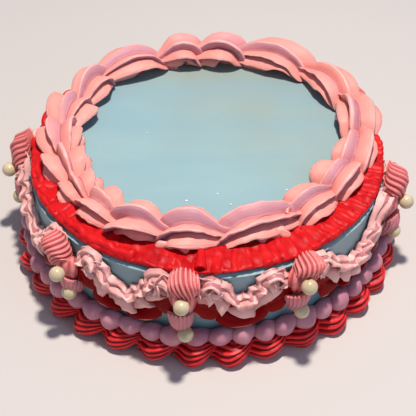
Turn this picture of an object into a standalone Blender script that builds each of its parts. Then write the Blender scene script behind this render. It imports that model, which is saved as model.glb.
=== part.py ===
# Round iced layer cake with piped buttercream borders, swags and sugar pearls.
# Units are metres, the base is on z = 0 and the front of the cake faces -Y.
import math

import bmesh
import bpy
import numpy as np

# Cake body
CAKE_RADIUS = 0.105
CAKE_HEIGHT = 0.062
RIM_ROUND = 0.0008
GAP = 0.0003
WALL_RADIUS = CAKE_RADIUS + GAP
ROUND_STEPS = 60

# Shell border on top, piped round a circle that sits a little off the middle of the cake
TOP_CENTRE_X = 0.003
TOP_CENTRE_Y = 0.011
TOP_RING_RADIUS = 0.0895
TOP_SHELL_WIDTH = 0.0125
TOP_SHELL_HEIGHT = 0.0110
TOP_SHELL_HEADS_DEG = (233, 250, 269, 299, 318, 337, 357, 380, 405,
                       434, 453.5, 468, 496, 515, 532, 550, 566, 579)
TOP_SHELL_SHIFTS_MM = (4, 2, -1, -3.5, -4.5, -4, -1, 1.5, 3.5, 0, -2, -1, 4, 0, -1, 0, 1, 3)
TOP_SHELL_SIDES = 12
TOP_RIDGE_DEPTH = 0.085
TOP_RIDGE_TWIST = 0.45

# Ruffle laid flat on the rim under the shell border
RUFFLE_INNER = 0.0864
RUFFLE_OUTER = 0.1051
RUFFLE_TOP = 0.0040
RUFFLE_PLEATS = 54
RUFFLE_PLEAT_DEPTH = 0.0009
SHELL_SEAT_RADIUS = 0.0859
SHELL_SEAT_HEIGHT = CAKE_HEIGHT + 0.0044

# Columns piped down the side where the swags meet
COLUMN_AZIMUTHS_DEG = (-92.5, -43.5, -6.3, 27, 76.5, 123, 172, 219)
COLUMN_LEANS_DEG = (-3.5, -3, -1, 0.5, 3.5, 1, 0, -1)
COLUMN_TOPS_MM = (69.5, 69, 69, 69, 69.5, 65.6, 65.6, 65.6)
COLUMN_HEIGHTS = (0.0640, 0.0620, 0.0590, 0.0555, 0.0515, 0.0475, 0.0462, 0.0390, 0.0330, 0.0290)
COLUMN_HALF_WIDTHS = (0.0054, 0.0079, 0.0085, 0.0080, 0.0067, 0.0050, 0.0064, 0.0058, 0.0044, 0.0028)
COLUMN_DEPTHS = (0.0100, 0.0170, 0.0205, 0.0175, 0.0130, 0.0100, 0.0118, 0.0104, 0.0082, 0.0050)
COLUMN_TOP = 0.0646
COLUMN_BOTTOM = 0.0274
COLUMN_SIDES = 12
COLUMN_RIDGE_DEPTH = 0.06
COLUMN_TWIST = 0.5

# Sugar pearls pressed into each column
PEARL_RADIUS = 0.0045
UPPER_PEARL_REACH = 0.1212
LOWER_PEARL_REACH = 0.1160
UPPER_PEARL_HEIGHT = 0.0520
LOWER_PEARL_HEIGHT = 0.0280
UPPER_PEARLS_MM = (46, 47, 53.5, 56.5, 48.5, 50, 51, 49)
LOWER_PEARLS_MM = (27.5, 31, 27.4, 34, 27.4, 28, 29, 28)

# Swags between the columns
SWAG_STEPS = 14
SWAG_END_GAP_DEG = 5.0
SWAG_END_HEIGHT = 0.0552
SWAG_DROP_PER_DEG = 0.00044
SWAG_DEEPEST = 0.0185
PINK_HALF_HEIGHT = 0.0070
PINK_DEPTH = 0.0080
PINK_WAVE = 0.0008
RED_DROP = 0.0131
RED_HALF_HEIGHT = 0.0045
RED_DEPTH = 0.0046
RED_SCALLOP = 0.0012
RED_LOWEST = 0.0264

# Bead border above the base shells
BEAD_COUNT = 54
BEAD_SIDES = 6
BEAD_RING_RADIUS = 0.1106
BEAD_RING_HEIGHT = 0.0193
BEAD_HALF_DEPTH = 0.0056
BEAD_HALF_HEIGHT = 0.0064

# Shell border round the foot
BASE_COUNT = 32
BASE_SIDES = 7
BASE_FIRST_DEG = 2.0
BASE_RING_RADIUS = 0.1126
BASE_RING_HEIGHT = 0.0074
BASE_HALF_DEPTH = 0.0072
BASE_HALF_HEIGHT = 0.0080
BASE_RIDGE_DEPTH = 0.08

# The beads lie on the base shells along a cone that slopes down outward
LEDGE_HEIGHT = 0.0155
LEDGE_SLOPE = 0.30

# Colours, linear, and finishes
BLUE = (0.42, 0.58, 0.60)
PALE_PINK = (0.87, 0.42, 0.38)
SWAG_PINK = (0.80, 0.45, 0.42)
CORAL = (0.72, 0.26, 0.25)
DUSTY_PINK = (0.55, 0.26, 0.30)
RED = (0.72, 0.015, 0.02)
DEEP_RED = (0.50, 0.008, 0.012)
IVORY = (0.72, 0.60, 0.38)
ICING_ROUGHNESS = 0.5
PEARL_ROUGHNESS = 0.25


def clear_scene():
    """Removes every object that the file opened with."""
    for item in list(bpy.data.objects):
        bpy.data.objects.remove(item, do_unlink=True)


def make_material(name, colour, roughness):
    """Returns a Principled material of one colour."""
    material = bpy.data.materials.new(name)
    material.use_nodes = True
    shader = material.node_tree.nodes["Principled BSDF"]
    shader.inputs["Base Color"].default_value = (colour[0], colour[1], colour[2], 1.0)
    shader.inputs["Roughness"].default_value = roughness
    material.diffuse_color = (colour[0], colour[1], colour[2], 1.0)
    return material


def add_object(name, mesh, material):
    """Puts a mesh in the scene as a smooth shaded object with outward faces."""
    tidy = bmesh.new()
    tidy.from_mesh(mesh)
    bmesh.ops.recalc_face_normals(tidy, faces=tidy.faces)
    tidy.to_mesh(mesh)
    tidy.free()
    for face in mesh.polygons:
        face.use_smooth = True
    if material is not None:
        mesh.materials.append(material)
    item = bpy.data.objects.new(name, mesh)
    bpy.context.scene.collection.objects.link(item)
    return item


def ring_mesh(name, points):
    """Closes a grid both ways: rows follow the ring and columns go round its section."""
    rows, sides, _ = points.shape
    faces = []
    for row in range(rows):
        after = (row + 1) % rows
        for side in range(sides):
            beside = (side + 1) % sides
            faces.append((row * sides + side, row * sides + beside,
                          after * sides + beside, after * sides + side))
    mesh = bpy.data.meshes.new(name)
    mesh.from_pydata(points.reshape(-1, 3).tolist(), [], faces)
    return mesh


def tube_mesh(name, points, first_pole, last_pole):
    """Closes a grid round its section and caps both ends with a fan to a pole."""
    rows, sides, _ = points.shape
    vertices = points.reshape(-1, 3).tolist()
    first = len(vertices)
    vertices.append(list(first_pole))
    vertices.append(list(last_pole))
    faces = []
    for side in range(sides):
        beside = (side + 1) % sides
        for row in range(rows - 1):
            faces.append((row * sides + side, row * sides + beside,
                          (row + 1) * sides + beside, (row + 1) * sides + side))
        faces.append((first, beside, side))
        faces.append((first + 1, (rows - 1) * sides + side, (rows - 1) * sides + beside))
    mesh = bpy.data.meshes.new(name)
    mesh.from_pydata(vertices, [], faces)
    return mesh


def cylindrical(radius, azimuth, height):
    """Turns radius, azimuth from the front and height into points."""
    radius, azimuth, height = np.broadcast_arrays(radius, azimuth, height)
    return np.stack([radius * np.sin(azimuth), -radius * np.cos(azimuth), height], axis=-1)


def waver(azimuth, first, second):
    """Smooth unevenness between -1 and 1 that closes round the cake."""
    return 0.5 * np.sin(first * azimuth + second) + 0.5 * np.sin((first + 4) * azimuth + 2.0 * second)


def revolved(name, outline):
    """Solid turned about the cake's axis from an outline of radius and height pairs."""
    turn = np.linspace(0.0, 2.0 * math.pi, ROUND_STEPS, endpoint=False)
    middle = np.array(outline[1:-1])
    points = cylindrical(middle[:, 0][:, None], turn[None, :], middle[:, 1][:, None])
    return tube_mesh(name, points, (0.0, 0.0, outline[0][1]), (0.0, 0.0, outline[-1][1]))


def subtract(item, cutter_mesh):
    """Cuts one mesh out of an object and drops any loose scraps."""
    cutter = add_object("cutter", cutter_mesh, None)
    cutter.hide_render = True
    cutter.display_type = "WIRE"
    cut = item.modifiers.new("cut", "BOOLEAN")
    cut.operation = "DIFFERENCE"
    cut.solver = "MANIFOLD"
    cut.object = cutter
    graph = bpy.context.evaluated_depsgraph_get()
    result = bpy.data.meshes.new_from_object(item.evaluated_get(graph))
    item.modifiers.clear()
    item.data = result
    bpy.data.objects.remove(cutter, do_unlink=True)
    keep_largest(result)


def keep_largest(mesh):
    """Welds the cut edges and keeps only the largest connected piece."""
    work = bmesh.new()
    work.from_mesh(mesh)
    bmesh.ops.remove_doubles(work, verts=work.verts, dist=0.00002)
    bmesh.ops.dissolve_degenerate(work, edges=work.edges, dist=0.00002)
    waiting = set(work.verts)
    pieces = []
    while waiting:
        piece = {waiting.pop()}
        front = list(piece)
        while front:
            for edge in front.pop().link_edges:
                for vertex in edge.verts:
                    if vertex in waiting:
                        waiting.discard(vertex)
                        piece.add(vertex)
                        front.append(vertex)
        pieces.append(piece)
    pieces.sort(key=len, reverse=True)
    for piece in pieces[1:]:
        bmesh.ops.delete(work, geom=list(piece), context="VERTS")
    bmesh.ops.recalc_face_normals(work, faces=work.faces)
    work.to_mesh(mesh)
    work.free()
    for face in mesh.polygons:
        face.use_smooth = True


def build_cake(material):
    """The iced cake is one plain drum with a softly rounded rim."""
    outline = ((0.0, 0.0), (CAKE_RADIUS - RIM_ROUND, 0.0), (CAKE_RADIUS, RIM_ROUND),
               (CAKE_RADIUS, CAKE_HEIGHT - RIM_ROUND), (CAKE_RADIUS - RIM_ROUND, CAKE_HEIGHT), (0.0, CAKE_HEIGHT))
    add_object("cake_body", revolved("cake_body", outline), material)


def build_ruffle(material):
    """A pleated ribbon lies on the rim, its outer edge just past the side."""
    azimuth = np.linspace(0.0, 2.0 * math.pi, 2 * RUFFLE_PLEATS, endpoint=False)[:, None]
    fold = (np.arange(2 * RUFFLE_PLEATS) % 2)[:, None] * RUFFLE_PLEAT_DEPTH
    drift = 0.0006 * (waver(azimuth, 3, 1.0) - 1.0)
    floor = CAKE_HEIGHT + GAP
    radius = np.concatenate([RUFFLE_INNER + 0.0 * fold, RUFFLE_OUTER - 0.0010 - fold + drift,
                             RUFFLE_OUTER - fold + drift, RUFFLE_OUTER - 0.0022 - fold + drift,
                             RUFFLE_INNER + 0.0006 + 0.0 * fold], axis=1)
    height = np.concatenate([floor + 0.0 * fold, floor + 0.0004 + 0.0 * fold,
                             floor + 0.0022 + 0.0 * fold, CAKE_HEIGHT + RUFFLE_TOP - 0.5 * fold,
                             CAKE_HEIGHT + RUFFLE_TOP - 0.0010 + 0.0 * fold], axis=1)
    add_object("ruffle_border", ring_mesh("ruffle_border", cylindrical(radius, azimuth, height)), material)


def build_top_border(material):
    """Ridged shells run into one another round the top, each head over the tail before it."""
    along = np.array((0.0, 0.12, 0.35, 0.62, 0.86))
    swell = np.array((0.76, 0.98, 1.05, 0.94, 0.76))
    heads = np.radians(np.array(TOP_SHELL_HEADS_DEG + (TOP_SHELL_HEADS_DEG[0] + 360,), dtype=float))
    angle = (heads[:-1, None] + (heads[1:] - heads[:-1])[:, None] * along[None, :]).reshape(-1, 1)
    shift = np.interp(angle, heads, 0.001 * np.array(TOP_SHELL_SHIFTS_MM + TOP_SHELL_SHIFTS_MM[:1]))
    size = np.tile(swell, len(heads) - 1).reshape(-1, 1)
    step = np.tile(along, len(heads) - 1).reshape(-1, 1)
    side = np.arange(TOP_SHELL_SIDES)[None, :] * 2.0 * math.pi / TOP_SHELL_SIDES
    turn = side + TOP_RIDGE_TWIST * np.sin(math.pi * step)
    ridge = 1.0 + TOP_RIDGE_DEPTH * np.cos(0.5 * TOP_SHELL_SIDES * side)
    across = TOP_RING_RADIUS + shift + TOP_SHELL_WIDTH * size * ridge * np.cos(turn)
    rise = CAKE_HEIGHT + 0.83 * TOP_SHELL_HEIGHT * size + TOP_SHELL_HEIGHT * size * ridge * np.sin(turn)
    points = np.stack([TOP_CENTRE_X + across * np.cos(angle), TOP_CENTRE_Y + across * np.sin(angle), rise], axis=-1)
    border = add_object("top_border", ring_mesh("top_border", points), material)
    seat = ((0.0, 0.040), (0.125, 0.040), (0.125, SHELL_SEAT_HEIGHT), (SHELL_SEAT_RADIUS, SHELL_SEAT_HEIGHT),
            (SHELL_SEAT_RADIUS, CAKE_HEIGHT + GAP), (0.0, CAKE_HEIGHT + GAP))
    subtract(border, revolved("seat", seat))


def pearl_mesh(azimuth, radius, height, size):
    """A small ball at a place on the side."""
    centre = cylindrical(radius, azimuth, height)
    mesh = bpy.data.meshes.new("pearl")
    work = bmesh.new()
    bmesh.ops.create_icosphere(work, subdivisions=2, radius=size)
    bmesh.ops.translate(work, verts=work.verts, vec=centre.tolist())
    work.to_mesh(mesh)
    work.free()
    return mesh


def column_level(height, place):
    """Stretches a height on the plain column to suit the pearls and the top of one column."""
    plain = (COLUMN_BOTTOM, LOWER_PEARL_HEIGHT, UPPER_PEARL_HEIGHT, COLUMN_TOP)
    bottom = place["lower"] - (LOWER_PEARL_HEIGHT - COLUMN_BOTTOM)
    return np.interp(height, plain, (bottom, place["lower"], place["upper"], place["top"]))


def column_azimuth(level, place):
    """Azimuth of the column's middle at a height, leaning a little from bottom to top."""
    share = (level - place["lower"]) / (place["top"] - place["lower"])
    return place["azimuth"] + place["lean"] * (share - 0.5)


def column_points(place):
    """Ridged sections down the side: a full shell above a smaller one."""
    heights = np.array(COLUMN_HEIGHTS)[:, None]
    widths = np.array(COLUMN_HALF_WIDTHS)[:, None]
    depths = np.array(COLUMN_DEPTHS)[:, None]
    level = column_level(heights, place)
    side = np.arange(COLUMN_SIDES)[None, :] * 2.0 * math.pi / COLUMN_SIDES
    turn = side + COLUMN_TWIST * (COLUMN_TOP - heights) / (COLUMN_TOP - COLUMN_BOTTOM)
    ridge = 1.0 + COLUMN_RIDGE_DEPTH * np.cos(0.5 * COLUMN_SIDES * side)
    across = column_azimuth(level, place) + widths * ridge * np.sin(turn) / CAKE_RADIUS
    reach = WALL_RADIUS + GAP + np.maximum(0.0, 0.5 * depths * (1.0 + ridge * np.cos(turn)))
    return cylindrical(reach, across, level)


def column_pearl(place, key, reach, size):
    """Mesh of the upper or lower pearl of one column."""
    return pearl_mesh(column_azimuth(place[key], place), reach, place[key], size)


def build_column(number, place, material):
    """One column with the seats of its two pearls pressed into it."""
    name = "column_%d" % number
    bottom_level = float(column_level(COLUMN_BOTTOM, place))
    top = cylindrical(WALL_RADIUS + 0.005, column_azimuth(place["top"], place), place["top"])
    bottom = cylindrical(WALL_RADIUS + 0.002, column_azimuth(bottom_level, place), bottom_level)
    column = add_object(name, tube_mesh(name, column_points(place), top, bottom), material)
    subtract(column, column_pearl(place, "upper", UPPER_PEARL_REACH, PEARL_RADIUS + GAP))
    subtract(column, column_pearl(place, "lower", LOWER_PEARL_REACH, PEARL_RADIUS + GAP))


def build_pearls(number, place, material):
    """The upper and lower pearl of one column."""
    upper = column_pearl(place, "upper", UPPER_PEARL_REACH, PEARL_RADIUS)
    lower = column_pearl(place, "lower", LOWER_PEARL_REACH, PEARL_RADIUS)
    add_object("pearl_upper_%d" % number, upper, material)
    add_object("pearl_lower_%d" % number, lower, material)


def column_places():
    """Where each column stands, how far it leans and how high its pearls and top are."""
    places = []
    for index, azimuth in enumerate(COLUMN_AZIMUTHS_DEG):
        places.append({"azimuth": math.radians(azimuth), "lean": math.radians(COLUMN_LEANS_DEG[index]),
                       "top": 0.001 * COLUMN_TOPS_MM[index], "upper": 0.001 * UPPER_PEARLS_MM[index],
                       "lower": 0.001 * LOWER_PEARLS_MM[index]})
    return places


def swag_path(start, end):
    """Azimuths and heights of a hanging curve between two leaning columns."""
    margin = math.radians(SWAG_END_GAP_DEG)
    offset = np.linspace(-1.0, 1.0, SWAG_STEPS)
    span = math.degrees(end["azimuth"] - start["azimuth"])
    drop = min(SWAG_DROP_PER_DEG * span, SWAG_DEEPEST)
    level = SWAG_END_HEIGHT - drop * (1.0 - offset ** 2)
    left = column_azimuth(level, start) + margin
    right = column_azimuth(level, end) - margin
    azimuth = 0.5 * (left + right) + 0.5 * offset * (right - left)
    return azimuth[:, None], level[:, None]


def end_size(rows):
    """Shrinks the first and last sections of a swag so that its ends are rounded."""
    size = np.ones(rows)
    size[0] = 0.72
    size[-1] = 0.72
    return size[:, None]


def build_swag(name, start, end, section, centre_drop, wave, lowest, material):
    """Carries a closed section of depth and rise pairs along one swag's curve."""
    azimuth, height = swag_path(start, end)
    depth, rise = np.array(section).T
    size = end_size(SWAG_STEPS)
    fold = np.where(np.arange(SWAG_STEPS) % 2 == 0, 1.0, -1.0)[:, None]
    edge = np.sign(rise)[None, :] * wave * fold
    reach = WALL_RADIUS + GAP + depth[None, :] * size
    level = np.maximum(height - centre_drop + (rise[None, :] + edge) * size, lowest)
    points = cylindrical(reach, azimuth, level)
    poles = points.mean(axis=1)
    add_object(name, tube_mesh(name, points, poles[0], poles[-1]), material)


def build_swags(number, start, end, pink, red):
    """A pleated pink swag over a scalloped red one."""
    pink_section = ((0.0, PINK_HALF_HEIGHT - 0.0012), (0.55 * PINK_DEPTH, PINK_HALF_HEIGHT),
                    (0.95 * PINK_DEPTH, 0.0015), (PINK_DEPTH, -PINK_HALF_HEIGHT + 0.0010),
                    (0.25 * PINK_DEPTH, -PINK_HALF_HEIGHT), (0.0, -0.5 * PINK_HALF_HEIGHT))
    red_section = ((0.0, RED_HALF_HEIGHT - 0.0006), (0.75 * RED_DEPTH, RED_HALF_HEIGHT - 0.0010),
                   (RED_DEPTH, -0.6 * RED_HALF_HEIGHT), (0.6 * RED_DEPTH, -RED_HALF_HEIGHT),
                   (0.0, -0.8 * RED_HALF_HEIGHT))
    build_swag("swag_pink_%d" % number, start, end, pink_section, 0.0, PINK_WAVE, 0.0, pink)
    build_swag("swag_red_%d" % number, start, end, red_section, RED_DROP, RED_SCALLOP * 0.5, RED_LOWEST, red)


def ledge(radius):
    """Height of the cone that parts the beads from the base shells."""
    return LEDGE_HEIGHT - LEDGE_SLOPE * (radius - CAKE_RADIUS)


def build_beads(places, material):
    """Round beads side by side low on the side, with the lower pearls pressed into them."""
    along = np.array((0.0, 0.5))
    swell = np.array((0.78, 1.0))
    start = np.arange(BEAD_COUNT)[:, None]
    azimuth = ((start + along[None, :]) * 2.0 * math.pi / BEAD_COUNT).reshape(-1, 1)
    size = np.tile(swell, BEAD_COUNT).reshape(-1, 1)
    side = (np.arange(BEAD_SIDES)[None, :] + 0.5) * 2.0 * math.pi / BEAD_SIDES
    radius = BEAD_RING_RADIUS + BEAD_HALF_DEPTH * size * np.cos(side)
    radius = np.maximum(radius, WALL_RADIUS)
    height = BEAD_RING_HEIGHT + BEAD_HALF_HEIGHT * size * np.sin(side)
    height = np.maximum(height, ledge(radius) + GAP)
    beads = add_object("bead_border", ring_mesh("bead_border", cylindrical(radius, azimuth, height)), material)
    for place in places:
        subtract(beads, column_pearl(place, "lower", LOWER_PEARL_REACH, PEARL_RADIUS + GAP))


def build_base(material):
    """Ridged shells stand on the floor round the foot, one after another."""
    along = np.array((0.0, 0.16, 0.45, 0.78))
    swell = np.array((0.70, 1.0, 1.02, 0.84))
    start = np.arange(BASE_COUNT)[:, None]
    azimuth = (start + along[None, :]) * 2.0 * math.pi / BASE_COUNT + math.radians(BASE_FIRST_DEG)
    azimuth = azimuth.reshape(-1, 1)
    size = np.tile(swell, BASE_COUNT).reshape(-1, 1)
    side = np.arange(BASE_SIDES)[None, :] * 2.0 * math.pi / BASE_SIDES
    ridge = 1.0 + BASE_RIDGE_DEPTH * np.cos(3.0 * side)
    radius = BASE_RING_RADIUS + BASE_HALF_DEPTH * size * ridge * np.cos(side)
    radius = np.maximum(radius, WALL_RADIUS)
    height = BASE_RING_HEIGHT + BASE_HALF_HEIGHT * size * ridge * np.sin(side)
    height = np.clip(height, 0.0, ledge(radius) - GAP)
    add_object("base_border", ring_mesh("base_border", cylindrical(radius, azimuth, height)), material)


def build_all():
    """Builds every piece of the cake."""
    clear_scene()
    build_cake(make_material("blue_icing", BLUE, ICING_ROUGHNESS))
    build_ruffle(make_material("red_ruffle_icing", RED, ICING_ROUGHNESS))
    build_top_border(make_material("pink_shell_icing", PALE_PINK, ICING_ROUGHNESS))
    places = column_places()
    build_beads(places, make_material("dusty_bead_icing", DUSTY_PINK, ICING_ROUGHNESS))
    build_base(make_material("red_shell_icing", RED, ICING_ROUGHNESS))
    pink = make_material("pink_swag_icing", SWAG_PINK, ICING_ROUGHNESS)
    red = make_material("red_swag_icing", DEEP_RED, ICING_ROUGHNESS)
    coral = make_material("coral_icing", CORAL, ICING_ROUGHNESS)
    pearl = make_material("sugar_pearl", IVORY, PEARL_ROUGHNESS)
    for number, start in enumerate(places, start=1):
        end = dict(places[number % len(places)])
        if end["azimuth"] < start["azimuth"]:
            end["azimuth"] += 2.0 * math.pi
        build_column(number, start, coral)
        build_pearls(number, start, pearl)
        build_swags(number, start, end, pink, red)


build_all()
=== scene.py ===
import math

import bpy
import numpy as np
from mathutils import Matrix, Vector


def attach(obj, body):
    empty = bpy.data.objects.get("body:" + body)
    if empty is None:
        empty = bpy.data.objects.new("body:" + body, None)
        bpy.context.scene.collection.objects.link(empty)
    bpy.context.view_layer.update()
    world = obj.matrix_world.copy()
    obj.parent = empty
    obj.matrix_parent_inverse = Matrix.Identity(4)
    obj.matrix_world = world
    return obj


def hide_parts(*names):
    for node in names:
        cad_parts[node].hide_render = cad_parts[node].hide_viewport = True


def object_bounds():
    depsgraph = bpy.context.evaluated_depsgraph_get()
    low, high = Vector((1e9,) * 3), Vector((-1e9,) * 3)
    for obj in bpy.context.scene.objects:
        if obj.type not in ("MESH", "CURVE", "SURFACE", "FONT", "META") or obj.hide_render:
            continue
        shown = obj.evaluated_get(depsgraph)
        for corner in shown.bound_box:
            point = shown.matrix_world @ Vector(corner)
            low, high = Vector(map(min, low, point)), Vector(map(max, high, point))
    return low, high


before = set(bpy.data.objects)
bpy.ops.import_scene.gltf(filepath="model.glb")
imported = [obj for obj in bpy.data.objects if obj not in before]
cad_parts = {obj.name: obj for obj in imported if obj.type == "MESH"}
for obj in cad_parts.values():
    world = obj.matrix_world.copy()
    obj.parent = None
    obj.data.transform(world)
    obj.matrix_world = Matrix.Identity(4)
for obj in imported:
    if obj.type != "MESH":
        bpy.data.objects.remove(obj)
cad_low, cad_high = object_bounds()


# Cake body
# About 210 mm of sponge under one coat of pale blue buttercream. The top is scraped level and the
# side turned against a straight scraper, which leaves fine streaks and a thin, uneven lip.
CAKE_RADIUS = 0.105
CAKE_HEIGHT = 0.062
LIP_WIDTH = 0.0020
BODY_TURNS = 480
BODY_BLUE = (0.28, 0.42, 0.44)
BODY_BLUE_DEEP = (0.23, 0.37, 0.42)
BODY_BLUE_SHADE_GREY = (0.295, 0.345, 0.300)
CRUMB_WHITE = (0.88, 0.84, 0.76)
CRUMB_SHADE = (0.80, 0.74, 0.66)
# Each crumb's azimuth in degrees, then its distance from the middle and its size in mm.
CRUMBS = ((-15.2, 44.9, 0.9), (9.4, 37.5, 0.6), (16.3, 48.4, 0.7), (54.1, 57.2, 0.7),
          (36.5, 56.0, 0.6), (-23.0, 62.1, 0.5), (-119.0, 42.0, 0.5), (30.0, 40.0, 0.4))


def unevenness(points, size, seed):
    """Smooth random field of about -1 to 1: twelve sine waves cross the points in random
    directions, each with a wavelength near size, and are added and scaled down."""
    draw = np.random.default_rng(seed)
    direction = draw.normal(size=(12, 3))
    direction /= np.linalg.norm(direction, axis=1, keepdims=True)
    wavelength = size * draw.uniform(0.6, 1.7, 12)
    phase = draw.uniform(0.0, 2.0 * math.pi, 12)
    turn = points @ (direction / wavelength[:, None]).T * 2.0 * math.pi + phase
    return np.sin(turn).sum(axis=-1) / 4.0


def ease(value):
    """Rises from 0 to 1 as value does, level at both ends: 3v^2 - 2v^3."""
    value = np.clip(value, 0.0, 1.0)
    return value * value * (3.0 - 2.0 * value)


def cylindrical(radius, azimuth, height):
    """Points from the radius, the azimuth from the front towards +X, and the height."""
    radius, azimuth, height = np.broadcast_arrays(radius, azimuth, height)
    return np.stack([radius * np.sin(azimuth), -radius * np.cos(azimuth), height], axis=-1)


def once_round(sides):
    """A row of angles once round a section."""
    return np.arange(sides)[None, :] * 2.0 * math.pi / sides


def unit_ball(latitude, sides):
    """A sphere of radius 1, with a row of points at each latitude."""
    turn = once_round(sides)
    return np.stack([np.cos(latitude) * np.cos(turn), np.cos(latitude) * np.sin(turn),
                     np.sin(latitude) + 0.0 * turn], axis=-1)


def grid_faces(rows, sides, ring):
    """Quads between neighbouring points of a grid that closes round its sides, and also from the
    last row to the first where ring is true."""
    row = np.arange(rows if ring else rows - 1)[:, None]
    side = np.arange(sides)[None, :]
    after = (row + 1) % rows
    beside = (side + 1) % sides
    corners = (row * sides + side, row * sides + beside, after * sides + beside, after * sides + side)
    return np.stack(np.broadcast_arrays(*corners), axis=-1).reshape(-1, 4)


def closed_body(points, marks, ring=False, poles=None, flank=0.0):
    """Vertices, quads, triangles, marks and flanks of one closed surface: a grid closed both ways,
    or a tube with a fan of triangles from each end row to its pole. The faces are turned to point
    outwards, judged by the sign of the enclosed volume."""
    rows, sides, _ = points.shape
    vertices = points.reshape(-1, 3)
    marks = np.broadcast_to(marks, (rows, sides)).reshape(-1)
    flank = np.broadcast_to(flank, (rows, sides)).reshape(-1)
    quads = grid_faces(rows, sides, ring)
    triangles = np.zeros((0, 3), dtype=int)
    if not ring:
        if poles is None:
            poles = (points[0].mean(axis=0), points[-1].mean(axis=0))
        first = len(vertices)
        side = np.arange(sides)
        beside = (side + 1) % sides
        last_row = (rows - 1) * sides
        vertices = np.concatenate([vertices, np.array(poles, dtype=float)])
        marks = np.concatenate([marks, [marks[:sides].mean(), marks[-sides:].mean()]])
        flank = np.concatenate([flank, [0.0, 0.0]])
        start_fan = np.stack([np.full(sides, first), beside, side], axis=-1)
        end_fan = np.stack([np.full(sides, first + 1), last_row + side, last_row + beside], axis=-1)
        triangles = np.concatenate([start_fan, end_fan])
    thirds = np.concatenate([quads[:, [0, 1, 2]], quads[:, [0, 2, 3]], triangles])
    corner = vertices[thirds] - vertices.mean(axis=0)
    volume = np.einsum("ij,ij->i", corner[:, 0], np.cross(corner[:, 1], corner[:, 2])).sum()
    if volume < 0.0:
        quads = quads[:, ::-1]
        triangles = triangles[:, ::-1]
    return vertices, quads, triangles, marks, flank


def make_piece(name, bodies, material, nodes):
    """One smooth shaded mesh of several closed bodies, riding on the cake and standing for its
    nodes. Each vertex keeps its mark, 1 on a crest and 0 in a groove, and its flank, 1 on the steep
    side under a crest."""
    count = 0
    faces = []
    for vertices, quads, triangles, _, _ in bodies:
        faces += (quads + count).tolist()
        faces += (triangles + count).tolist()
        count += len(vertices)
    mesh = bpy.data.meshes.new(name)
    mesh.from_pydata(np.concatenate([body[0] for body in bodies]), [], faces)
    mesh.shade_smooth()
    for key, place in (("crest", 3), ("flank", 4)):
        values = np.concatenate([body[place] for body in bodies]).astype(np.float32)
        mesh.attributes.new(key, "FLOAT", "POINT").data.foreach_set("value", values)
    mesh.materials.append(material)
    piece = bpy.data.objects.new(name, mesh)
    bpy.context.scene.collection.objects.link(piece)
    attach(piece, "root")
    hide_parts(*nodes)
    return piece


class Amount:
    """A number that varies over the surface. Adding to it, multiplying it or raising it to a power
    adds the Math node that does so."""

    def __init__(self, paint, socket):
        self.paint = paint
        self.socket = socket

    def join(self, operation, other):
        made = self.paint.node("ShaderNodeMath", {"operation": operation}, {0: self, 1: other})
        return Amount(self.paint, made.outputs[0])

    def __add__(self, other):
        return self.join("ADD", other)

    def __mul__(self, other):
        return self.join("MULTIPLY", other)

    def __pow__(self, other):
        return self.join("POWER", other)

    __radd__ = __add__
    __rmul__ = __mul__


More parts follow.
